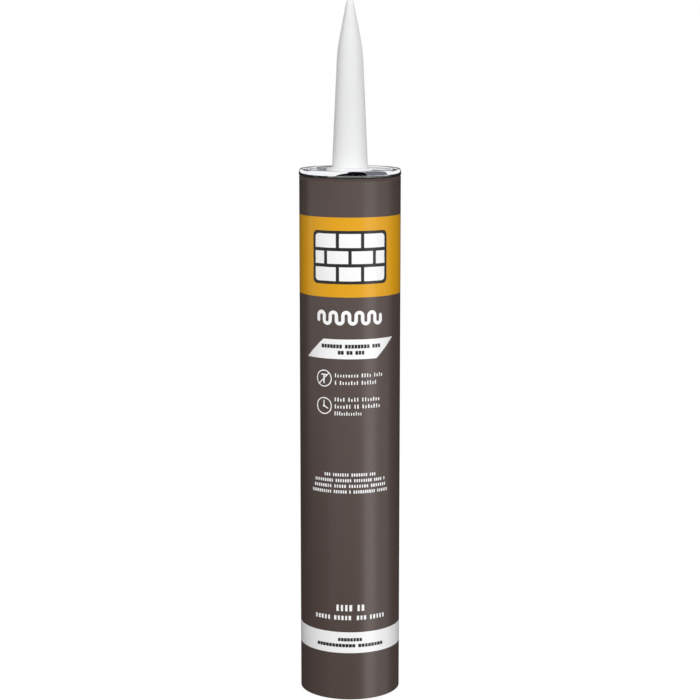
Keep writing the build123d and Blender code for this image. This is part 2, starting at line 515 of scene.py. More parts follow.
# %% [markdown]
# The label is one sheet glued round the board. Where its two ends overlap at the back, the
# outer end stands one paper's thickness higher. A sleeve whose radius is a function of
# the angle gives that step, and every full band of ink follows the same function.
# Two posts close together, one on each side of the paper's edge, keep the step upright.

# %% Helper for sleeves
LAP_EDGE = math.radians(184)
LAP_WIDTH = math.radians(13)
LAP_RAMP = math.radians(2.5)
LAP_STEP = 0.0004
PAPER = 0.1
TUCKED = 0.06
SLEEVE_STEPS = 224


def lap_lift(angle):
    """How far the paper stands out at this angle from the front, in millimetres."""
    past = (angle - LAP_EDGE) % (2 * math.pi)
    if past < LAP_WIDTH:
        return PAPER
    if past < LAP_WIDTH + LAP_RAMP:
        share = (past - LAP_WIDTH) / LAP_RAMP
        return PAPER * (1 - share * share * (3 - 2 * share))
    return 0.0


def sleeve(name, inner, outer, bottom, top, material, soften=0.0, tuck=0.0):
    """A closed ring that follows the lap, with its radii and heights in millimetres. Its
    edges may be soft, and its top may be tucked in close to the board for some height."""
    angles = [2 * math.pi * step / SLEEVE_STEPS for step in range(SLEEVE_STEPS)]
    angles = sorted(angles + [LAP_EDGE - LAP_STEP, LAP_EDGE])
    mesh = bmesh.new()
    rings = []
    for angle in angles:
        lift = lap_lift(angle)
        ring = [
            (inner, bottom),
            (outer + lift - soften, bottom),
            (outer + lift, bottom + soften),
            (outer + lift, top - soften),
            (outer + lift - soften, top),
            (inner, top),
        ]
        if soften == 0:
            ring = [ring[0], ring[1], ring[4], ring[5]]
        if tuck:
            ring[-1:] = [(inner + TUCKED, top), (inner + TUCKED, top + tuck), (inner, top + tuck)]
        x, y = math.sin(angle), -math.cos(angle)
        rings.append([mesh.verts.new((r * MM * x, r * MM * y, z * MM)) for r, z in ring])
    for here, there in zip(rings, rings[1:] + rings[:1]):
        for at in range(len(here)):
            onward = (at + 1) % len(here)
            mesh.faces.new((here[at], here[onward], there[onward], there[at]))
    bmesh.ops.recalc_face_normals(mesh, faces=mesh.faces)
    made = settle(name, mesh, material)
    print(f"{name}: {len(made.data.polygons)} faces, {bottom:.1f} to {top:.1f} mm")
    return made


# %% [markdown]
# The paper ends under the skirt of the metal end, where its edge is tucked in and lies in
# the shade. That strip takes the black ink as a second material: painted shade, which draws
# the thin dark line over the brown. The two bands that run all the way round are sleeves too,
# and ink stands a few hundredths of a millimetre proud of the paper, so that no two faces coincide.

# %% Label and its full bands
INK = 0.03
INK_SUNK = 0.05
LABEL_BOTTOM = 0.02
WHITE_BAND_HEIGHT = 14.0
SLOTS = {"brown": "label_brown", "yellow": "label_yellow", "white": "label_white"}
label = sleeve(
    "label_paper", BOARD_RADIUS, LABEL_RADIUS, LABEL_BOTTOM, LABEL_TOP, inks["brown"], soften=0.08,
    tuck=SKIRT_BOTTOM - LABEL_TOP,
)
# The tucked strip gets the black ink as painted shade: it stands for the shadow under the skirt, not
# for print.
label.data.materials.append(inks["black"])
for face in label.data.polygons:
    if face.center.z > LABEL_TOP * MM:
        face.material_index = 1
place_piece(label, "cartridge", SLOTS["brown"], "label")
for name, bottom, top, ink, stands_for in (
    ("print_yellow_band", YELLOW_BOTTOM, YELLOW_TOP, "yellow", "label_yellow_band"),
    ("print_white_band", WHITE_BOTTOM, WHITE_BOTTOM + WHITE_BAND_HEIGHT, "white", "label_white_fields"),
):
    band = sleeve(name, LABEL_RADIUS - INK_SUNK, LABEL_RADIUS + INK, bottom, top, inks[ink])
    place_piece(band, "cartridge", SLOTS[ink], stands_for)

# %% [markdown]
# The rest of the print is drawn flat, as a printer would, with the arc round the barrel
# across and the height upwards. A tree of geometry nodes then bends the flat sheet round
# the barrel and gives the ink its thickness, so one drawing serves any radius.


# %% Geometry nodes: bend a flat print round the barrel
def new_tree(name, *inputs):
    """A geometry tree with a mesh in, a mesh out and named inputs of (name, kind)."""
    tree = bpy.data.node_groups.new(name, "GeometryNodeTree")
    tree.interface.new_socket("Geometry", in_out="INPUT", socket_type="NodeSocketGeometry")
    for label_text, kind in inputs:
        tree.interface.new_socket(label_text, in_out="INPUT", socket_type=kind)
    tree.interface.new_socket("Geometry", in_out="OUTPUT", socket_type="NodeSocketGeometry")
    return tree, tree.nodes.new("NodeGroupInput"), tree.nodes.new("NodeGroupOutput")


def add_bend(tree, flat, ways):
    """Adds the nodes that bend a flat mesh, thicken it, and set its material."""
    position = tree.nodes.new("GeometryNodeInputPosition").outputs[0]
    spot = node(tree, "ShaderNodeSeparateXYZ", Vector=position)
    turn = sum_of(tree, "DIVIDE", spot.outputs["X"], ways.outputs["Radius"])
    reach = sum_of(tree, "ADD", ways.outputs["Radius"], ways.outputs["Lift"])
    bent = node(
        tree, "ShaderNodeCombineXYZ",
        X=sum_of(tree, "MULTIPLY", reach, sum_of(tree, "SINE", turn)),
        Y=sum_of(tree, "MULTIPLY", sum_of(tree, "MULTIPLY", reach, sum_of(tree, "COSINE", turn)), -1.0),
        Z=spot.outputs["Z"],
    )
    moved = node(tree, "GeometryNodeSetPosition", Geometry=flat, Position=bent.outputs[0])
    raised = node(
        tree, "GeometryNodeExtrudeMesh", Mesh=moved.outputs[0], Offset_Scale=ways.outputs["Thickness"]
    )
    raised.inputs["Individual"].default_value = False
    under = node(tree, "GeometryNodeFlipFaces", Mesh=moved.outputs[0])
    both = tree.nodes.new("GeometryNodeJoinGeometry")
    tree.links.new(raised.outputs["Mesh"], both.inputs[0])
    tree.links.new(under.outputs[0], both.inputs[0])
    welded = node(tree, "GeometryNodeMergeByDistance", Geometry=both.outputs[0], Distance=1e-6)
    real = node(tree, "GeometryNodeRealizeInstances", Geometry=welded.outputs[0])
    return node(
        tree, "GeometryNodeSetMaterial", Geometry=real.outputs[0], Material=ways.outputs["Material"]
    ).outputs[0]


BEND_INPUTS = [
    ("Radius", "NodeSocketFloat"),
    ("Lift", "NodeSocketFloat"),
    ("Thickness", "NodeSocketFloat"),
    ("Material", "NodeSocketMaterial"),
]
bend_tree, ways_in, ways_out = new_tree("bend_round_barrel", *BEND_INPUTS)
bend_tree.links.new(add_bend(bend_tree, ways_in.outputs["Geometry"], ways_in), ways_out.inputs[0])
print("bend tree:", len(bend_tree.nodes), "nodes")

# %% [markdown]
# A tree could stay on its object as a modifier. Here each tree is run once and its plain
# mesh is kept, so a later cell can count its faces, and nothing is worked out twice.


# %% Helper that runs a tree and keeps its plain mesh
def through_tree(flat, tree, **values):
    """Runs a geometry tree on an object, and returns a new object with the plain result."""
    modifier = flat.modifiers.new("tree", "NODES")
    modifier.node_group = tree
    for item in tree.interface.items_tree:
        if item.item_type == "SOCKET" and item.in_out == "INPUT":
            key = item.name.replace(" ", "_")
            if key in values:
                modifier[item.identifier] = values[key]
    bpy.context.view_layer.update()
    seen = flat.evaluated_get(bpy.context.evaluated_depsgraph_get())
    data = bpy.data.meshes.new_from_object(seen)
    name = flat.name
    flat.modifiers.remove(modifier)
    bpy.data.objects.remove(flat)
    data.name = name
    data.polygons.foreach_set("use_smooth", [True] * len(data.polygons))
    data.set_sharp_from_angle(angle=SHARP_EDGE)
    made = bpy.data.objects.new(name, data)
    bpy.context.scene.collection.objects.link(made)
    return made


# %% [markdown]
# A flat drawing is filled between its outlines, so a ring is two outlines. Then it is cut
# into upright strips, because a face that isn't cut can't bend.


# %% Helpers for flat drawings
STRIP = 1.2
CORNER_STEPS = 6
DISC_STEPS = 40
END_STEPS = 8


def flat_drawing(name, shapes):
    """Fills each shape, a list of outlines of (arc, height) points, and cuts it in strips."""
    mesh = bmesh.new()
    for outlines in shapes:
        edges = []
        for outline in outlines:
            verts = [mesh.verts.new((x * MM, 0, z * MM)) for x, z in outline]
            edges += [mesh.edges.new(pair) for pair in zip(verts, verts[1:] + verts[:1])]
        bmesh.ops.triangle_fill(mesh, use_beauty=True, edges=edges)
    low = min(v.co.x for v in mesh.verts)
    high = max(v.co.x for v in mesh.verts)
    cut = math.ceil(low / (STRIP * MM)) * STRIP * MM
    while cut < high:
        parts = list(mesh.verts) + list(mesh.edges) + list(mesh.faces)
        bmesh.ops.bisect_plane(mesh, geom=parts, plane_co=(cut, 0, 0), plane_no=(1, 0, 0), dist=1e-7)
        cut += STRIP * MM
    bmesh.ops.recalc_face_normals(mesh, faces=mesh.faces)
    away = [face for face in mesh.faces if face.normal.y > 0]
    bmesh.ops.reverse_faces(mesh, faces=away)
    data = bpy.data.meshes.new(name)
    mesh.to_mesh(data)
    mesh.free()
    made = bpy.data.objects.new(name, data)
    bpy.context.scene.collection.objects.link(made)
    return made


def box_outline(left, right, bottom, top, corner=0.0, slant=0.0):
    """A rectangle's outline, with round corners or with its ends on a slant."""
    if corner == 0:
        half = slant / 2
        return [(left - half, bottom), (right - half, bottom), (right + half, top), (left + half, top)]
    points = []
    middles = [(right - corner, top - corner), (left + corner, top - corner)]
    middles += [(left + corner, bottom + corner), (right - corner, bottom + corner)]
    for quarter, (x, z) in enumerate(middles):
        for step in range(CORNER_STEPS + 1):
            turn = math.pi / 2 * (quarter + step / CORNER_STEPS)
            points.append((x + corner * math.cos(turn), z + corner * math.sin(turn)))
    return points


def disc_outline(x, z, radius):
    """A circle's outline."""
    turns = [2 * math.pi * step / DISC_STEPS for step in range(DISC_STEPS)]
    return [(x + radius * math.cos(turn), z + radius * math.sin(turn)) for turn in turns]


def bar_outline(start, end, width):
    """The outline of a straight stroke with round ends."""
    a, b = Vector(start), Vector(end)
    along = (b - a).normalized() * width / 2
    points = []
    for centre, first in ((b, -math.pi / 2), (a, math.pi / 2)):
        for step in range(END_STEPS + 1):
            turn = first + math.pi * step / END_STEPS
            points.append(
                (
                    centre.x + along.x * math.cos(turn) - along.y * math.sin(turn),
                    centre.y + along.x * math.sin(turn) + along.y * math.cos(turn),
                )
            )
    return points


def printed(name, shapes, ink, lift, *nodes):
    """Draws shapes flat, bends them round the barrel and lets them ride on the cartridge."""
    piece = through_tree(
        flat_drawing(name, shapes), bend_tree, Radius=LABEL_RADIUS * MM, Lift=lift * MM,
        Thickness=INK * MM, Material=inks[ink],
    )
    place_piece(piece, "cartridge", SLOTS.get(ink), *nodes)
    print(f"{name}: {len(piece.data.polygons)} faces")


# %% [markdown]
# The big panel on the yellow band is white, with a plain wall of bricks on it. The bricks
# are what dark joints leave free of the white, so only the joints are drawn: level and
# upright bars, and a frame with round corners. Bricks could be drawn one by one, but then
# the joints between them would be hard to keep even.

# %% Panel with a plain wall
PANEL_HALF = 23.9
PANEL_HEIGHT = 30.4
PANEL_CORNER = 2.5
PANEL_LOW = (YELLOW_BOTTOM + YELLOW_TOP) / 2 - PANEL_HEIGHT / 2
PANEL_HIGH = PANEL_LOW + PANEL_HEIGHT
KEYLINE = 1.6
KEYLINE_INSIDE = 0.3
CORNER_OUT, CORNER_IN = 3.2, 2.3
JOINT = 2.1
COURSES = 3
printed(
    "print_white_panel",
    [[box_outline(-PANEL_HALF, PANEL_HALF, PANEL_LOW, PANEL_HIGH, PANEL_CORNER)]],
    "white", INK, "label_white_fields",
)
joints = [
    [
        box_outline(-PANEL_HALF - out, PANEL_HALF + out, PANEL_LOW - out, PANEL_HIGH + out, corner)
        for out, corner in ((KEYLINE, CORNER_OUT), (-KEYLINE_INSIDE, CORNER_IN))
    ]
]
course = (PANEL_HIGH - PANEL_LOW) / COURSES
for row in range(COURSES):
    low, high = PANEL_LOW + row * course, PANEL_LOW + (row + 1) * course
    if row:
        joints.append([box_outline(-PANEL_HALF, PANEL_HALF, low - JOINT / 2, low + JOINT / 2)])
    upright = [-PANEL_HALF / 3, PANEL_HALF / 3]
    if row % 2:
        upright = [-PANEL_HALF * 2 / 3, 0, PANEL_HALF * 2 / 3]
    for x in upright:
        joints.append([box_outline(x - JOINT / 2, x + JOINT / 2, low, high)])
printed("print_panel_joints", joints, "black", 2 * INK)

# %% [markdown]
# Under the yellow band runs a bead of adhesive, as it is laid on a board: upright legs joined
# by half turns, in one stroke of even width. The two sides of the stroke are found by
# stepping out square to its middle line, and half circles close its ends.

# %% Bead of adhesive
BEAD_LEFT, BEAD_RIGHT = -22.3, 21.7
BEAD_MIDDLE, BEAD_RISE = 250.7, 4.7
BEAD_LEGS = 11
HALF_STROKE = 1.12
TURN_STEPS = 12
CAP_STEPS = 8


def cap(x, z, first_turn):
    """The points of a half circle that closes an end of the stroke, without its two ends."""
    turns = [first_turn - math.pi * step / CAP_STEPS for step in range(1, CAP_STEPS)]
    return [(x + HALF_STROKE * math.cos(turn), z + HALF_STROKE * math.sin(turn)) for turn in turns]


turn_radius = (BEAD_RIGHT - BEAD_LEFT - 2 * HALF_STROKE) / (BEAD_LEGS - 1) / 2
leg_half = BEAD_RISE - HALF_STROKE - turn_radius
middle_line = [(BEAD_LEFT + HALF_STROKE, BEAD_MIDDLE - leg_half, -1, 0)]
for leg in range(BEAD_LEGS):
    x = BEAD_LEFT + HALF_STROKE + 2 * turn_radius * leg
    up = 1 if leg % 2 == 0 else -1
    for step in range(TURN_STEPS + 1 if leg < BEAD_LEGS - 1 else 1):
        turn = math.pi * (1 - step / TURN_STEPS)
        middle_line.append(
            (
                x + turn_radius * (1 + math.cos(turn)),
                BEAD_MIDDLE + up * (leg_half + turn_radius * math.sin(turn)),
                up * math.cos(turn),
                math.sin(turn),
            )
        )
left_side = [(x + HALF_STROKE * across, z + HALF_STROKE * rise) for x, z, across, rise in middle_line]
right_side = [(x - HALF_STROKE * across, z - HALF_STROKE * rise) for x, z, across, rise in middle_line]
last_cap, first_cap = cap(*middle_line[-1][:2], math.pi), cap(*middle_line[0][:2], 0.0)
printed("print_bead", [[left_side + last_cap + right_side[::-1] + first_cap]], "white", 0.0)

# %% [markdown]
# Below the bead lies a white banner. Its two ends slant the same way, so its outline is four
# points. The dark rows that lie on it are printed in a later cell, with the other rows.

# %% Banner
BANNER_HALF = 24.45
BANNER_LOW, BANNER_HIGH = 224.5, 237.1
BANNER_SLANT = 13.6
printed(
    "print_white_banner",
    [[box_outline(-BANNER_HALF, BANNER_HALF, BANNER_LOW, BANNER_HIGH, slant=BANNER_SLANT)]],
    "white", 0.0, "label_white_fields",
)

# %% [markdown]
# Two ring signs stand beside the short lines: a nail with a bar across it, and a clock.
# Both are made of plain strokes, as a stencil would have them, and each stroke is a shape
# of its own, so one can be moved without the rest.

# %% Ring signs
SIGN_X = -17.3
SIGN_RADIUS = 5.5
SIGN_STROKE = 0.7
NAIL_MIDDLE, CLOCK_MIDDLE = 211.7, 194.0
signs = [
    [disc_outline(SIGN_X, z, SIGN_RADIUS), disc_outline(SIGN_X, z, SIGN_RADIUS - SIGN_STROKE)]
    for z in (NAIL_MIDDLE, CLOCK_MIDDLE)
]
signs += [
    [bar_outline((SIGN_X - 1.8, NAIL_MIDDLE + 2.4), (SIGN_X + 1.8, NAIL_MIDDLE + 2.4), 0.8)],
    [bar_outline((SIGN_X, NAIL_MIDDLE + 1.9), (SIGN_X, NAIL_MIDDLE - 2.8), 0.95)],
    [disc_outline(SIGN_X, CLOCK_MIDDLE, 0.8)],
    [bar_outline((SIGN_X, CLOCK_MIDDLE + 1.1), (SIGN_X, CLOCK_MIDDLE + 3.4), 0.7)],
    [bar_outline((SIGN_X + 1.1, CLOCK_MIDDLE - 0.6), (SIGN_X + 2.6, CLOCK_MIDDLE - 1.5), 0.7)],
]
printed("print_signs", signs, "white", 0.0)
reach = (SIGN_RADIUS - SIGN_STROKE / 2) / math.sqrt(2)
bar_ends = [(SIGN_X + side * reach, NAIL_MIDDLE + side * reach) for side in (-1, 1)]
printed("print_sign_bar", [[bar_outline(*bar_ends, SIGN_STROKE)]], "white", INK)

# %% [markdown]
# The small print is made of plain upright blocks in rows. A tree of geometry nodes sets one
# block on every point that it is given. The point carries its block's width and height, so
# a whole column of print is a short list of numbers.

# %% Geometry nodes: rows of blocks
blocks_tree, ways_in, ways_out = new_tree("rows_of_blocks", *BEND_INPUTS)
block = node(blocks_tree, "GeometryNodeMeshGrid", Size_X=1.0, Size_Y=1.0, Vertices_X=2, Vertices_Y=2)


def stored(name):
    """Reads a number that was stored on the points."""
    float_kind = {"data_type": "FLOAT"}
    return node(blocks_tree, "GeometryNodeInputNamedAttribute", float_kind, Name=name).outputs[0]


wide, tall = stored("block_width"), stored("block_height")
grown = node(blocks_tree, "ShaderNodeCombineXYZ", X=wide, Y=tall, Z=1.0)
many = node(
    blocks_tree, "GeometryNodeInstanceOnPoints", Points=ways_in.outputs["Geometry"],
    Instance=block.outputs["Mesh"], Rotation=(math.pi / 2, 0.0, 0.0), Scale=grown.outputs[0],
)
real = node(blocks_tree, "GeometryNodeRealizeInstances", Geometry=many.outputs[0])
blocks_tree.links.new(add_bend(blocks_tree, real.outputs[0], ways_in), ways_out.inputs[0])
print("blocks tree:", len(blocks_tree.nodes), "nodes")


# %% [markdown]
# Only the widths and heights differ from block to block, as letters do in a line of print.
# Light print has narrow blocks and bold print has wide ones. In a row of small letters
# most blocks are lower than the first of their word.

# %% Helpers for small print
WORD_GAP = 0.8
CAPITAL_WIDTHS = (0.48, 0.66)
SMALL_WIDTHS = (0.36, 0.5)
BOLD_WIDTHS = (0.78, 0.92)
SMALL_LETTER = 0.72
SMALL_SHARE = 0.65
random.seed(28)


def letters_in(left, right, words, widths=CAPITAL_WIDTHS):
    """One block for each letter of each word: (left, right, share of the capital's height)."""
    pitch = (right - left) / (sum(words) + WORD_GAP * (len(words) - 1))
    at, found = left, []
    for count in words:
        for letter in range(count):
            wide = pitch * random.uniform(*widths)
            small = widths == SMALL_WIDTHS and letter and random.random() < SMALL_SHARE
            tall = SMALL_LETTER if small else 1.0
            found.append((at + (pitch - wide) / 2, at + (pitch + wide) / 2, tall))
            at += pitch
        at += WORD_GAP * pitch
    return found


def small_print(name, rows, ink, lift):
    """Rows are (height of the row's middle, capital's height, blocks) in millimetres."""
    blocks = [
        ((left + right) / 2, z + capital * (tall - 1) / 2, right - left, capital * tall)
        for z, capital, row in rows
        for left, right, tall in row
    ]
    data = bpy.data.meshes.new(name)
    data.from_pydata([(x * MM, 0, z * MM) for x, z, wide, tall in blocks], [], [])
    for key, values in (
        ("block_width", [wide * MM for x, z, wide, tall in blocks]),
        ("block_height", [tall * MM for x, z, wide, tall in blocks]),
    ):
        data.attributes.new(key, "FLOAT", "POINT").data.foreach_set("value", values)
    points = bpy.data.objects.new(name, data)
    bpy.context.scene.collection.objects.link(points)
    piece = through_tree(
        points, blocks_tree, Radius=LABEL_RADIUS * MM, Lift=lift * MM, Thickness=INK * MM,
        Material=inks[ink],
    )
    place_piece(piece, "cartridge", SLOTS.get(ink))
    print(f"{name}: {len(blocks)} blocks, {len(piece.data.polygons)} faces")


# %% [markdown]
# A row is its height, the height of its capitals, and where it starts and ends. Counts of
# letters stand for its words, so the rows keep the rhythm of a real label and say nothing.
# The dark rows lie on white fields, so they stand one film of ink higher than the others.

# %% Small print on the front
small_print(
    "print_front_lines",
    [
        (214.0, 2.5, letters_in(-10.2, 22.5, [9, 4, 4], SMALL_WIDTHS)),
        (209.3, 2.5, letters_in(-10.2, 17.8, [1, 7, 6], SMALL_WIDTHS)),
        (198.5, 2.5, letters_in(-10.4, 20.2, [4, 4, 7], SMALL_WIDTHS)),
        (194.0, 2.5, letters_in(-10.4, 20.6, [6, 2, 7], SMALL_WIDTHS)),
        (189.5, 2.5, letters_in(-10.4, 7.8, [12], SMALL_WIDTHS)),
        (149.6, 2.0, letters_in(-17.3, 17.3, [3, 7, 7, 3])),
        (145.9, 2.0, letters_in(-24.6, 24.6, [9, 7, 8, 4, 1])),
        (142.2, 2.0, letters_in(-25.1, 25.1, [8, 5, 8, 7])),
        (138.5, 2.0, letters_in(-27.0, 27.0, [10, 6, 1, 10, 6])),
        (61.6, 4.2, letters_in(-9.5, 9.9, [4, 2])),
        (55.0, 2.9, letters_in(-24.7, 1.1, [5, 5]) + letters_in(4.0, 24.5, [3, 5])),
    ],
    "white", 0.0,
)
small_print(
    "print_dark_lines",
    [
        (232.6, 2.4, letters_in(-19.1, 20.5, [7, 8, 3], BOLD_WIDTHS)),
        (228.6, 2.4, letters_in(-7.9, 9.3, [2, 2, 3], BOLD_WIDTHS)),
        (40.4, 2.2, letters_in(-8.0, 8.0, [8], BOLD_WIDTHS)),
        (36.4, 2.2, letters_in(-22.9, 22.9, [12, 8], BOLD_WIDTHS)),
    ],
    "black", INK,
)

# %% [markdown]
# The back of such a label is full of directions. The photograph doesn't show it, so two
# quiet columns of blocks stand for them, with word lengths drawn from a fixed seed.

# %% Small print on the back
COLUMN_WIDTH = 38.0
COLUMN_MIDDLES = (-71.0, 71.0)
COLUMN_TOP = 236.0
PARAGRAPHS = (4, 7, 6, 8)
HEADING_LETTER, HEADING_STEP = 2.4, 4.6
TEXT_LETTER, TEXT_STEP, PARAGRAPH_STEP = 1.6, 3.2, 3.4
HEADING_SHARE, LAST_SHARE = 0.45, 0.55
LONG_SHARES = (0.93, 1.0)
WORD_LENGTHS = (2, 9)
back_rows = []
for middle in COLUMN_MIDDLES:
    left = middle - COLUMN_WIDTH / 2
    z = COLUMN_TOP
    for lines in PARAGRAPHS:
        heading = letters_in(left, left + COLUMN_WIDTH * HEADING_SHARE, [6, 4])
        back_rows.append((z, HEADING_LETTER, heading))
        z -= HEADING_STEP
        for line in range(lines):
            long_row = line < lines - 1
            share = random.uniform(*LONG_SHARES) if long_row else LAST_SHARE
            words = [random.randint(*WORD_LENGTHS) for _ in range(5 if long_row else 3)]
            blocks = letters_in(left, left + COLUMN_WIDTH * share, words, SMALL_WIDTHS)
            back_rows.append((z, TEXT_LETTER, blocks))
            z -= TEXT_STEP
        z -= PARAGRAPH_STEP
small_print("print_back_lines", back_rows, "white", 0.0)

# %% [markdown]
# The piston is a cup that opens to the rear, where the gun's plate pushes. Two thin lips
# wipe the bore. The boss in its middle has a small dimple, where the plastic ran into the
# mould.

# %% Piston cup
PISTON_WALL = 1.4
SKIRT_GAP = 0.7
SKIRT_RADIUS = BORE_RADIUS - SKIRT_GAP
CUP_RADIUS = SKIRT_RADIUS - PISTON_WALL
SHOULDER_INSIDE = CUP_RADIUS - PISTON_WALL
CUP_DEPTH = 15.0
CUP_FLOOR = PISTON_REAR + CUP_DEPTH
LIP_GAP = 0.05
LIP_RADIUS = BORE_RADIUS - LIP_GAP
LIP_HEIGHT = 1.5
UNDER_FACE = PISTON_FRONT - PISTON_WALL
BOSS_RADIUS = 5.0
GATE_RADIUS, GATE_DEPTH = 1.2, 0.4
cup_profile = rounded(
    [
        (0, PISTON_FRONT, 0),
        (LIP_RADIUS, PISTON_FRONT, 0.15),
        (SKIRT_RADIUS, PISTON_FRONT - LIP_HEIGHT, 1.0),
        (SKIRT_RADIUS, PISTON_REAR + LIP_HEIGHT, 1.0),
        (LIP_RADIUS, PISTON_REAR, 0.15),
        (CUP_RADIUS, PISTON_REAR, 0.3),
        (CUP_RADIUS, CUP_FLOOR, 0.3),
        (SHOULDER_INSIDE, CUP_FLOOR, 0.3),
        (SHOULDER_INSIDE, UNDER_FACE, 0.8),
        (BOSS_RADIUS, UNDER_FACE, 0.8),
        (BOSS_RADIUS, CUP_FLOOR, 0.3),
        (GATE_RADIUS, CUP_FLOOR, 0),
        (GATE_RADIUS - GATE_DEPTH, CUP_FLOOR + GATE_DEPTH, 0),
        (0, CUP_FLOOR + GATE_DEPTH, 0),
    ],
    closed=False,
)
cup = turned("piston_cup", cup_profile, piston_plastic, closed=False, steps=160)
place_piece(cup, "piston", "piston_plastic", "piston")

# %% [markdown]
# Ribs under the face keep it stiff. They repeat round the axis, so a tree of geometry nodes
# turns one rib into all of them. Each one runs a little way into the boss, the wall and the
# face, as a moulded rib does, and only its free edge is rounded.

# %% Geometry nodes: ribs round the axis
ribs_tree, ways_in, ways_out = new_tree(
    "ribs_round_axis", ("Count", "NodeSocketInt"), ("Material", "NodeSocketMaterial")
)
spots = node(ribs_tree, "GeometryNodePoints", Count=ways_in.outputs["Count"])
index = ribs_tree.nodes.new("GeometryNodeInputIndex").outputs[0]
full_turns = sum_of(ribs_tree, "MULTIPLY", index, 2 * math.pi)
turn = sum_of(ribs_tree, "DIVIDE", full_turns, ways_in.outputs["Count"])
facing = node(ribs_tree, "ShaderNodeCombineXYZ", Z=turn)
many = node(
    ribs_tree, "GeometryNodeInstanceOnPoints", Points=spots.outputs[0],
    Instance=ways_in.outputs["Geometry"], Rotation=facing.outputs[0],
)
real = node(ribs_tree, "GeometryNodeRealizeInstances", Geometry=many.outputs[0])
clad = node(
    ribs_tree, "GeometryNodeSetMaterial", Geometry=real.outputs[0], Material=ways_in.outputs["Material"]
)
ribs_tree.links.new(clad.outputs[0], ways_out.inputs[0])
print("ribs tree:", len(ribs_tree.nodes), "nodes")

# %% [markdown]
# One rib is a cube that is stretched into its place, with the edges of its free side
# bevelled. Six of them could be drawn, but then each change would be made six times.

# %% Ribs of the piston
RIB_COUNT = 6
RIB_THICKNESS = 1.2
RIB_SUNK = 0.3
RIB_EDGE = 0.3
rib_mesh = bmesh.new()
bmesh.ops.create_cube(rib_mesh, size=1)
rib_length = SHOULDER_INSIDE - BOSS_RADIUS + 2 * RIB_SUNK
for v in rib_mesh.verts:
    v.co.x = (BOSS_RADIUS - RIB_SUNK + rib_length * (v.co.x + 0.5)) * MM
    v.co.y *= RIB_THICKNESS * MM
    v.co.z = (CUP_FLOOR + (UNDER_FACE + RIB_SUNK - CUP_FLOOR) * (v.co.z + 0.5)) * MM
low_edges = [e for e in rib_mesh.edges if all(v.co.z < (CUP_FLOOR + 0.1) * MM for v in e.verts)]
bmesh.ops.bevel(
    rib_mesh, geom=low_edges, offset=RIB_EDGE * MM, segments=3, profile=0.5, affect="EDGES"
)
bmesh.ops.recalc_face_normals(rib_mesh, faces=rib_mesh.faces)
one_rib = settle("piston_ribs", rib_mesh, piston_plastic)
ribs = through_tree(one_rib, ribs_tree, Count=RIB_COUNT, Material=piston_plastic)
place_piece(ribs, "piston", "piston_plastic", "piston")
print("ribs:", len(ribs.data.polygons), "faces")

# %% [markdown]
# The adhesive fills the space in front of the piston, and it shortens as the piston slides.
# The foil under the hub is flat, so the CAD model's own disc stays.

# %% Adhesive and foil seal
FILL_EDGE = 0.5
adhesive_paste, *_ = finish("adhesive_paste", (0.62, 0.55, 0.43), 0.5, 30.0, 300.0, bump=0.3)
fill_low, fill_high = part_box("adhesive")
adhesive = turned(
    "adhesive_fill",
    rounded(
        [
            (0, fill_low.z / MM, 0),
            (fill_high.x / MM, fill_low.z / MM, FILL_EDGE),
            (fill_high.x / MM, fill_high.z / MM, FILL_EDGE),
            (0, fill_high.z / MM, 0),
        ],
        closed=False,
    ),
    adhesive_paste, closed=False, steps=96,
)
place_piece(adhesive, "cartridge", "adhesive", "adhesive")
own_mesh(adhesive)
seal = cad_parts["foil_seal"]
seal.data.materials.clear()
seal.data.materials.append(foil)

# %% [markdown]
# The floor is white and catches only a soft shadow. It is a plain grey that glows for the
# camera, and a little way out it fades into the white of the world behind it. It can't be
# seen from below, so the rear end can be looked at, and it lets shadow rays through, so
# a lamp under it lights that end.

# %% Paint of the floor
FLOOR_GREY = 0.16
FLOOR_GLOW = 0.88
FADE_FROM, FADE_TO = 0.06, 0.3


def sees_background(tree):
    """One for the rays that should see the white background."""
    path = tree.nodes.new("ShaderNodeLightPath")
    return sum_of(
        tree, "MAXIMUM", path.outputs["Is Camera Ray"],
        sum_of(tree, "MAXIMUM", path.outputs["Is Glossy Ray"], path.outputs["Is Transmission Ray"]),
    )


floor_paint = bpy.data.materials.new("floor_paint")
floor_paint.use_nodes = True
tree = floor_paint.node_tree
tree.nodes.clear()
place = tree.nodes.new("ShaderNodeTexCoord")
away = node(tree, "ShaderNodeVectorMath", {"operation": "LENGTH"})
feed(tree, away.inputs[0], place.outputs["Object"])
smooth = {"interpolation_type": "SMOOTHSTEP"}
far = node(tree, "ShaderNodeMapRange", smooth, Value=away.outputs["Value"])
far.inputs["From Min"].default_value = FADE_FROM
far.inputs["From Max"].default_value = FADE_TO
seen = sees_background(tree)
matt = node(tree, "ShaderNodeBsdfDiffuse", Color=(FLOOR_GREY, FLOOR_GREY, FLOOR_GREY, 1))
glow = node(
    tree, "ShaderNodeEmission", Color=(1, 1, 1, 1), Strength=sum_of(tree, "MULTIPLY", seen, FLOOR_GLOW)
)
lit = tree.nodes.new("ShaderNodeAddShader")
feed(tree, lit.inputs[0], matt.outputs[0])
feed(tree, lit.inputs[1], glow.outputs[0])
white = node(tree, "ShaderNodeEmission", Color=(1, 1, 1, 1), Strength=seen)
outward = node(tree, "ShaderNodeMixShader", Fac=far.outputs["Result"])
feed(tree, outward.inputs[1], lit.outputs[0])
feed(tree, outward.inputs[2], white.outputs[0])
side = tree.nodes.new("ShaderNodeNewGeometry")
path = tree.nodes.new("ShaderNodeLightPath")
through = sum_of(tree, "MAXIMUM", side.outputs["Backfacing"], path.outputs["Is Shadow Ray"])
clear = tree.nodes.new("ShaderNodeBsdfTransparent")
final = node(tree, "ShaderNodeMixShader", Fac=through)
feed(tree, final.inputs[1], outward.outputs[0])
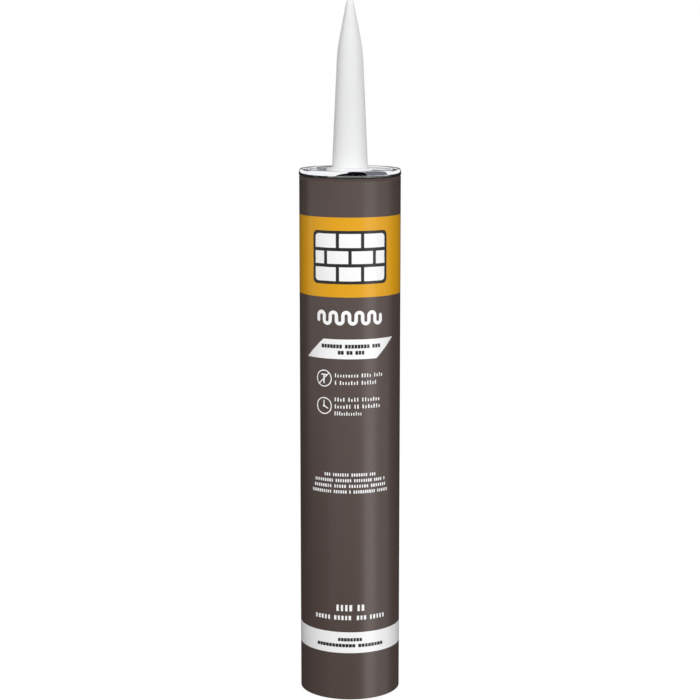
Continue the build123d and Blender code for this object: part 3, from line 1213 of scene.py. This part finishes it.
feed(tree, final.inputs[2], clear.outputs[0])
ground = tree.nodes.new("ShaderNodeOutputMaterial")
feed(tree, ground.inputs["Surface"], final.outputs[0])
print("floor paint:", len(tree.nodes), "nodes")

# %% [markdown]
# The floor is a flat ring. Its hole lies under the tube, where more light comes in.

# %% Floor
FLOOR_REACH = 6.0
FLOOR_STEPS = 64
floor_mesh = bmesh.new()
rims = [
    [
        floor_mesh.verts.new((reach * math.cos(turn), reach * math.sin(turn), 0))
        for turn in [2 * math.pi * step / FLOOR_STEPS for step in range(FLOOR_STEPS)]
    ]
    for reach in (BORE_RADIUS * MM, FLOOR_REACH)
]
for step in range(FLOOR_STEPS):
    onward = (step + 1) % FLOOR_STEPS
    floor_mesh.faces.new((rims[0][step], rims[1][step], rims[1][onward], rims[0][onward]))
floor = settle("floor", floor_mesh, floor_paint)
floor.visible_glossy = False
print("floor:", len(floor.data.polygons), "faces")

# %% [markdown]
# The sky lights everything evenly. The camera and the reflections see it as plain white,
# which is brighter than the light that it gives.

# %% World
SKY = 0.45
world = bpy.data.worlds.new("world")
bpy.context.scene.world = world
world.use_nodes = True
tree = world.node_tree
tree.nodes.clear()
sky = node(
    tree, "ShaderNodeBackground", Color=(1, 1, 1, 1),
    Strength=sum_of(tree, "ADD", SKY, sum_of(tree, "MULTIPLY", sees_background(tree), 1 - SKY)),
)
feed(tree, tree.nodes.new("ShaderNodeOutputWorld").inputs["Surface"], sky.outputs[0])
print("sky gives", SKY, "of white")

# %% [markdown]
# Five lamps add the modelling: a broad soft one in front, a weaker one on each side, one
# for the back, and one below the floor that looks into the open rear end. None of them
# shows in a reflection.


# %% Lamps
def lamp(name, place, aim, width, height, watts):
    """A soft lamp that faces a point and that neither the camera nor a reflection sees."""
    light = bpy.data.lights.new(name, "AREA")
    light.shape = "RECTANGLE"
    light.size, light.size_y, light.energy = width, height, watts
    made = bpy.data.objects.new(name, light)
    made.location = place
    made.rotation_euler = (Vector(aim) - Vector(place)).to_track_quat("-Z", "Y").to_euler()
    made.visible_glossy = made.visible_camera = False
    bpy.context.scene.collection.objects.link(made)


MIDDLE = (0, 0, 0.24)
lamp("front_lamp", (0.1, -1.6, 0.85), MIDDLE, 1.9, 1.1, 28.0)
lamp("right_lamp", (1.45, -0.39, 0.45), MIDDLE, 0.4, 0.8, 3.0)
lamp("left_lamp", (-1.3, -0.75, 0.45), MIDDLE, 0.4, 0.8, 1.5)
lamp("back_lamp", (0.0, 1.8, 0.7), MIDDLE, 0.6, 0.8, 22.0)
lamp("rear_lamp", (0.0, 0.15, -0.9), (0, 0, 0), 0.5, 0.5, 5.0)

# %% [markdown]
# What varnish, tin and plastic mirror is set up apart from the light, with cards that only
# reflections see, as a product studio does with boards. A bright strip on the right draws
# the satin highlight down the barrel. Dark cards give the barrel its dark edges and the
# rolled rim its black lens in front, and a grey one lies beside that lens.


# %% Helper for cards
POSTS = 25


def card(name, shade, first, last, low, high, reach, arched=False, near=None):
    """A bent card that only reflections see: from one bearing to another, in degrees from
    the camera's side round to the right, between two heights, this far from the axis. The
    top of an arched card falls to its low edge at both ends. A shelf has its low edge
    nearer to the axis."""
    paint = bpy.data.materials.new(name)
    paint.use_nodes = True
    paint.node_tree.nodes.clear()
    plain = node(paint.node_tree, "ShaderNodeEmission", Color=(*shade, 1), Strength=1.0)
    end = paint.node_tree.nodes.new("ShaderNodeOutputMaterial")
    feed(paint.node_tree, end.inputs["Surface"], plain.outputs[0])
    mesh = bmesh.new()
    posts = []
    for step in range(POSTS):
        share = (step + 0.5) / POSTS
        bearing = math.radians(first + (last - first) * share)
        x, y = reach * math.sin(bearing), -reach * math.cos(bearing)
        top = low + (high - low) * math.sin(math.pi * share) if arched else high
        inward = 1.0 if near is None else near / reach
        posts.append((mesh.verts.new((x * inward, y * inward, low)), mesh.verts.new((x, y, top))))
    for here, there in zip(posts, posts[1:]):
        mesh.faces.new((here[0], there[0], there[1], here[1]))
    made = settle(name, mesh, paint)
    made.visible_camera = made.visible_diffuse = made.visible_shadow = made.visible_transmission = False


# %% [markdown]
# Each card is one row of numbers: its shade, its two bearings, its two heights and its
# distance. A card shows in a part of the rim or the barrel of its own, so each was set by
# itself, with the photograph beside the render.

# %% Cards round the barrel
BRIGHT = (3.4, 3.4, 3.4)
HAZE = (0.24, 0.245, 0.26)
BLUE_GREY = (0.17, 0.18, 0.205)
WARM_BLACK = (0.04, 0.035, 0.035)
SOOT = (0.02, 0.02, 0.02)
BLACK = (0.004, 0.004, 0.006)
card("card_strip", BRIGHT, 33, 60, -0.6, 0.27, 1.4)
card("card_behind", WARM_BLACK, 97, 256, -1.4, 0.34, 1.7)
card("card_haze", HAZE, 158, 202, 0.34, 6.0, 1.7)
card("card_haze_high", HAZE, 112, 248, 0.80, 6.0, 1.72)
card("card_front", BLACK, -33, 40, 0.34, 0.80, 0.9, arched=True)
card("card_front_high", BLACK, -8, 38, 0.34, 5.0, 0.92, arched=True)
card("card_right", BLUE_GREY, 36, 92, 0.352, 2.6, 0.94)
card("card_low", SOOT, -45, 33, -3.0, -0.27, 1.35)
card("card_low_left", SOOT, -120, -45, -3.0, -0.08, 1.35)

# %% [markdown]
# The curl under the roll faces down, so it would mirror the white floor and draw a bright
# line over the label. In the photograph that line is dark. Flat cards at the height of the
# label's top edge close the view down: a narrow ring, and two arcs outside it. A card's
# posts stand half a step in from its ends, so a full ring turns a little further.

# %% Shelves under the rim
SHELF_HEIGHT = 0.3362
SHELF_IN, SHELF_BREAK, SHELF_OUT = 0.034, 0.055, 0.3
FULL_RING = 374.4
for name, tone, first, last, near, far_out in (
    ("shelf_near", (0.015, 0.015, 0.015), 0, FULL_RING, SHELF_IN, SHELF_BREAK),
    ("shelf_front", (0.13, 0.13, 0.13), -38, 78, SHELF_BREAK, SHELF_OUT),
    ("shelf_round", SOOT, 73, 327, SHELF_BREAK, SHELF_OUT),
):
    card(name, tone, first, last, SHELF_HEIGHT, SHELF_HEIGHT, far_out, near=near)
print("shelves at", SHELF_HEIGHT / MM, "mm")
